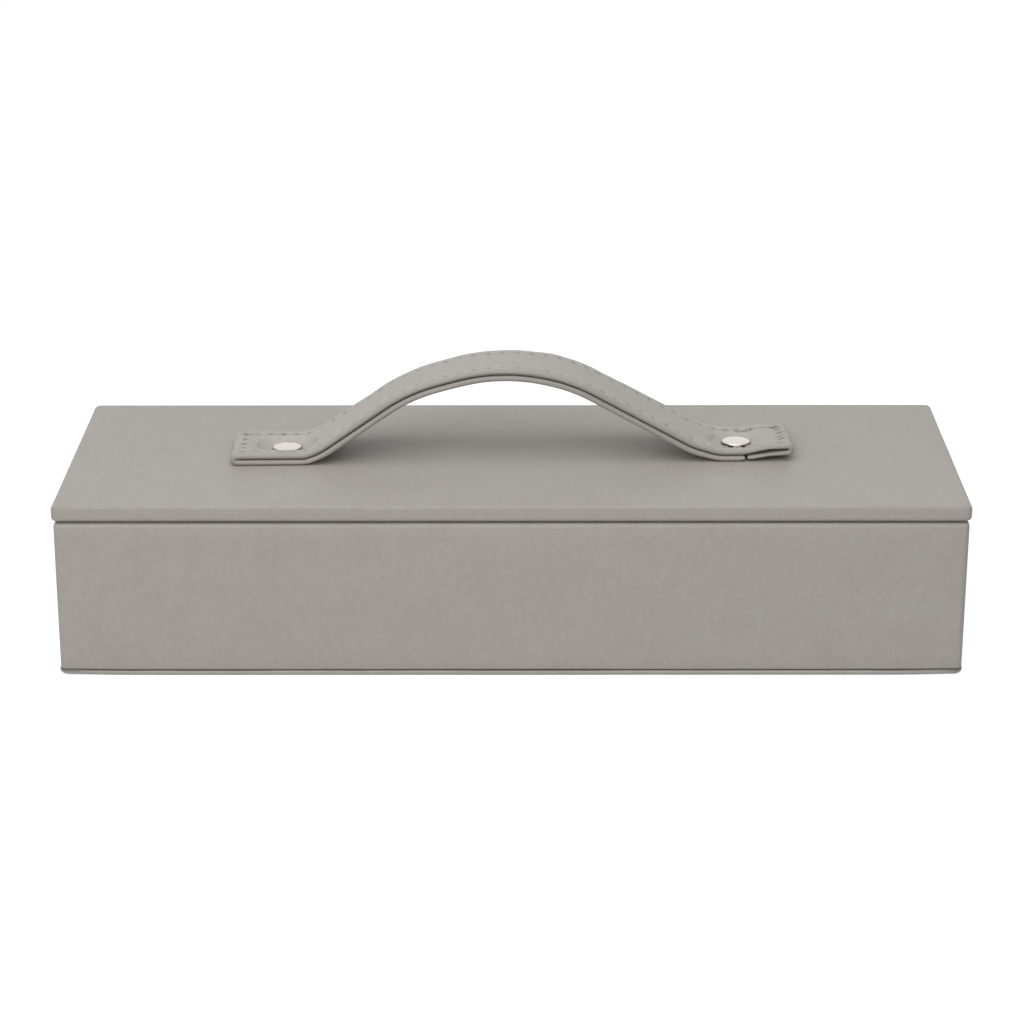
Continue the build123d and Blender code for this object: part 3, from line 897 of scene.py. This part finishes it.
rings = ring_places()
section = strip_section()
bpy.ops.object.select_all(action="DESELECT")
bpy.ops.mesh.primitive_grid_add(x_subdivisions=len(rings) - 1, y_subdivisions=len(section), size=1)
strap = bpy.context.object
strap.name = "strap_handle"
# painted shade: each point of the strap gets how dark it is painted, at the needle holes and along the rolled
# edges
painted_shade = strap.data.attributes.new("painted_shade", "FLOAT", "POINT")
for vertex in strap.data.vertices:
    s = rings[round((vertex.co.x + 0.5) * (len(rings) - 1))]
    y, z = section[round((vertex.co.y + 0.5) * len(section)) % len(section)]
    under = smooth_step((LEFT_FOLD - s) / FOLD_BLEND + 0.5) + smooth_step((s - RIGHT_FOLD) / FOLD_BLEND + 0.5)
    # painted shade along the rolled edges of both layers
    dark = EDGE_PAINTED_SHADE * smooth_step((abs(y) - STRAP_EDGE + DARK_FROM) / DARK_BLEND)
    if z > LAYER / 2 - HAIR:
        z = surface_height(s, y)
        # painted shade in each needle hole
        dark = max(dark, hump(nearest_hole(s, y)[1], HOLE_WIDTH))
    painted_shade.data[vertex.index].value = dark
    outwards = z / LAYER + 0.5
    if z > 0 and abs(y) > STRAP_EDGE - LIFT_FROM:
        foot = smooth_step((ARCH_START - s) / FOOT_BLEND) + smooth_step((s - ARCH_END) / FOOT_BLEND)
        edge = smooth_step((abs(y) - STRAP_EDGE + LIFT_FROM) / LIFT_BLEND)
        z -= under * foot * LOWER_LIFT * edge * z / (LAYER / 2)
    if z < 0 and abs(y) < STRAP_EDGE:
        z = inner_height(s, y, z)
        if abs(y) > STRAP_EDGE - SEAM_ROUND:
            y += math.copysign(STRAP_EDGE - abs(y), y) * under * (1 - LOWER_ROUND)
    end = min(s, STRIP_LENGTH - s) / (END_ROUND if z > 0 else END_ROUND / 3)
    if end < 1:
        z *= math.sqrt(max(1 - (1 - end) ** 2, END_THIN))
        s += math.copysign(END_LEAN * outwards * (1 - end) + END_GAP, STRIP_LENGTH / 2 - s)
    vertex.co = (s * MM, y * MM, z * MM)
bend_round_loop(strap)
bpy.ops.object.mode_set(mode="EDIT")
bpy.ops.mesh.select_all(action="SELECT")
bpy.ops.mesh.remove_doubles(threshold=MERGE_WITHIN)
bpy.ops.mesh.select_mode(type="EDGE")
bpy.ops.mesh.select_all(action="DESELECT")
bpy.ops.mesh.select_non_manifold()
bpy.ops.mesh.edge_face_add()
bpy.ops.mesh.select_all(action="SELECT")
bpy.ops.mesh.normals_make_consistent(inside=False)
bpy.ops.object.mode_set(mode="OBJECT")
bpy.ops.object.shade_smooth_by_angle(angle=SMOOTH_ANGLE)
strap.data.materials.append(grained_leatherette("strap_leatherette_finely_grained", "#afaba5", "#a5a09b"))
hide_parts("handle_strap", "handle_padding")
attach(strap, "lid")


# Stitching: light grey bonded polyester thread, twisted, in a row along each edge of the
# strap through both layers, with a row across its left end and a double row across its right,
# and three short lock stitches behind the right rivet.
THREAD_RADIUS = 0.34
THREAD_RISE = 0.13
THREAD_BED = 0.1
THREAD_TAPER = 0.35
THREAD_FLAT = 0.8
THREAD_STEPS = 7
THREAD_SIDES = 6
SUNK_ENDS = 0.65
CROSS_RISE = -0.2
HOLE_REACH = 0.52
LOCK_REACH = 0.2


def twisted_thread(name, light, dark):
    """Bonded polyester sewing thread: three twisted plies, a dull sheen."""
    material = empty_material(name)
    tree = material.node_tree
    place = node(tree, "ShaderNodeUVMap")
    plies = node(tree, "ShaderNodeTexWave", {"bands_direction": "DIAGONAL"},
                 {"Scale": 3.0, "Distortion": 0.4}, {0: place.outputs[0]})
    colour = node(tree, "ShaderNodeMix", {"data_type": "RGBA"}, {6: linear(dark), 7: linear(light)},
                  {0: plies.outputs["Fac"]})
    bump = node(tree, "ShaderNodeBump", values={"Strength": 0.5, "Distance": 0.05 * MM},
                links={"Height": plies.outputs["Fac"]})
    shader = node(tree, "ShaderNodeBsdfPrincipled",
                  values={"Roughness": 0.5, "IOR": 1.5, "Sheen Weight": 0.2, "Sheen Roughness": 0.4},
                  links={"Base Color": colour.outputs[2], "Normal": bump.outputs[0]})
    node(tree, "ShaderNodeOutputMaterial", links={"Surface": shader.outputs[0]})
    return material


def lay_stitch(start, end, rise):
    """One stitch, dipping into its hole at each end: a bent tube of six sides, in the flat strip's mm."""
    bpy.ops.object.select_all(action="DESELECT")
    bpy.ops.mesh.primitive_cylinder_add(vertices=THREAD_SIDES, radius=1, depth=1, end_fill_type="NGON")
    stitch = bpy.context.object
    bpy.ops.object.mode_set(mode="EDIT")
    for k in range(1, THREAD_STEPS):
        cut_at(2, k / THREAD_STEPS - 0.5)
    bpy.ops.object.mode_set(mode="OBJECT")
    run = Vector((end[0] - start[0], end[1] - start[1], 0))
    sideways = Vector((-run.y, run.x, 0)).normalized()
    for vertex in stitch.data.vertices:
        share = vertex.co.z + 0.5
        sunk = SUNK_ENDS * abs(2 * share - 1) ** 5
        middle = Vector((*start, LAYER / 2 - THREAD_BED + rise - sunk)) + run * share
        thick = THREAD_RADIUS * (1 - THREAD_TAPER * abs(2 * share - 1) ** 3)
        upward = Vector((0, 0, vertex.co.y * thick * THREAD_FLAT))
        vertex.co = (middle + sideways * vertex.co.x * thick + upward) * MM
    return stitch


def sew(name, pairs):
    """Lays a stitch between each pair of holes and joins them all into one piece."""
    stitches = [lay_stitch(start, end, rise) for start, end, rise in pairs]
    bpy.ops.object.select_all(action="DESELECT")
    for stitch in stitches:
        stitch.select_set(True)
    bpy.context.view_layer.objects.active = stitches[0]
    bpy.ops.object.join()
    row = bpy.context.object
    row.name = name
    bend_round_loop(row)
    bpy.ops.object.shade_smooth_by_angle(angle=SMOOTH_ANGLE)
    row.data.materials.append(thread)
    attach(row, "lid")


def row_pairs(places):
    """Neighbouring holes of the rows along both edges, leaving out the strip's join."""
    near = [(a, b) for a, b in zip(places, places[1:]) if b - a < 1.5 * ARCH_PITCH]
    return [((a + HOLE_REACH, y), (b - HOLE_REACH, y), THREAD_RISE)
            for a, b in near for y in (-STITCH_ROW, STITCH_ROW)]


thread = twisted_thread("light_grey_bonded_thread", "#c3c1bc", "#a6a5a2")
cross_pairs = [((s, a + HOLE_REACH), (s, b - HOLE_REACH), CROSS_RISE)
               for s, places in CROSS_LINES for a, b in zip(places, places[1:])]
lock_pairs = [((a + LOCK_REACH, LOCK_ROW), (b - LOCK_REACH, LOCK_ROW), THREAD_RISE)
              for a, b in zip(lock_places, lock_places[1:])]
sew("stitches_upper", row_pairs(upper_row_places) + cross_pairs + lock_pairs)
sew("stitches_lower", row_pairs(lower_row_places))

# Rivets: double-cap rivets of pressed steel, nickel plated and polished, each cap a low dome
# with a turned-down edge, drawn down into the padded strap.
CAP_PROFILE = [(5.0, 0.0), (5.0, 0.3), (4.93, 0.47), (4.78, 0.62), (4.55, 0.74), (4.1, 0.88), (3.4, 1.03),
               (2.5, 1.16), (1.5, 1.25), (0.5, 1.29)]
CAP_SIDES = 64
CREASE_HEIGHT = 0.5 * MM
nickel = empty_material("nickel_plated_polished_steel")
tree = nickel.node_tree
place = node(tree, "ShaderNodeTexCoord")
handling = node(tree, "ShaderNodeTexNoise", values={"Scale": 1 / (0.9 * MM), "Detail": 4.0},
                links={0: place.outputs["Object"]})
dulled = node(tree, "ShaderNodeMapRange", values={"To Min": 0.16, "To Max": 0.26},
              links={0: handling.outputs["Fac"]})
# painted reflection: the rim of each cap is coloured a darker nickel, standing in for the grey leather and
# the shade that the rim would mirror
rim_shade = node(tree, "ShaderNodeAttribute", {"attribute_name": "rim_painted_reflection"})
colour = node(tree, "ShaderNodeMix", {"data_type": "RGBA"}, {6: linear("#dfd8d2"), 7: linear("#8f8b87")},
              {0: rim_shade.outputs["Fac"]})
shader = node(tree, "ShaderNodeBsdfPrincipled", values={"Metallic": 1.0},
              links={"Base Color": colour.outputs[2], "Roughness": dulled.outputs["Result"]})
node(tree, "ShaderNodeOutputMaterial", links={"Surface": shader.outputs[0]})
for side, x in RIVET_PLACES.items():
    rim = (CAP_SEATS[side] + CAP_PROFILE[1][1]) * MM
    bpy.ops.object.select_all(action="DESELECT")
    bpy.ops.mesh.primitive_cylinder_add(vertices=CAP_SIDES, radius=CAP_RADIUS * MM,
                                        depth=CAP_PROFILE[1][1] * MM,
                                        location=(x * MM, 0, rim - CAP_PROFILE[1][1] * MM / 2))
    cap = bpy.context.object
    cap.name = f"rivet_cap_{side}_domed"
    bpy.ops.object.transform_apply(location=True, rotation=True, scale=True)
    bpy.ops.object.mode_set(mode="EDIT")
    end_face(rim)
    for (radius, height), (inner, higher) in zip(CAP_PROFILE[1:], CAP_PROFILE[2:]):
        bpy.ops.mesh.inset(thickness=(radius - inner) * MM)
        bpy.ops.transform.translate(value=(0, 0, (higher - height) * MM))
    bpy.ops.object.mode_set(mode="OBJECT")
    bpy.ops.object.shade_smooth_by_angle(angle=SMOOTH_ANGLE)
    # painted reflection: how much darker each point of the cap is, full at the rim and none above it
    rim_painted_reflection = cap.data.attributes.new("rim_painted_reflection", "FLOAT", "POINT")
    for vertex in cap.data.vertices:
        rim_painted_reflection.data[vertex.index].value = 1 - smooth_step((vertex.co.z - rim) / CREASE_HEIGHT)
    cap.data.transform(handle_place)
    cap.data.materials.append(nickel)
    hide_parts(f"rivet_cap_{side}")
    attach(cap, "lid")
    finish_node(f"rivet_post_{side}", nickel)

bpy.context.scene.view_settings.view_transform = "Standard"
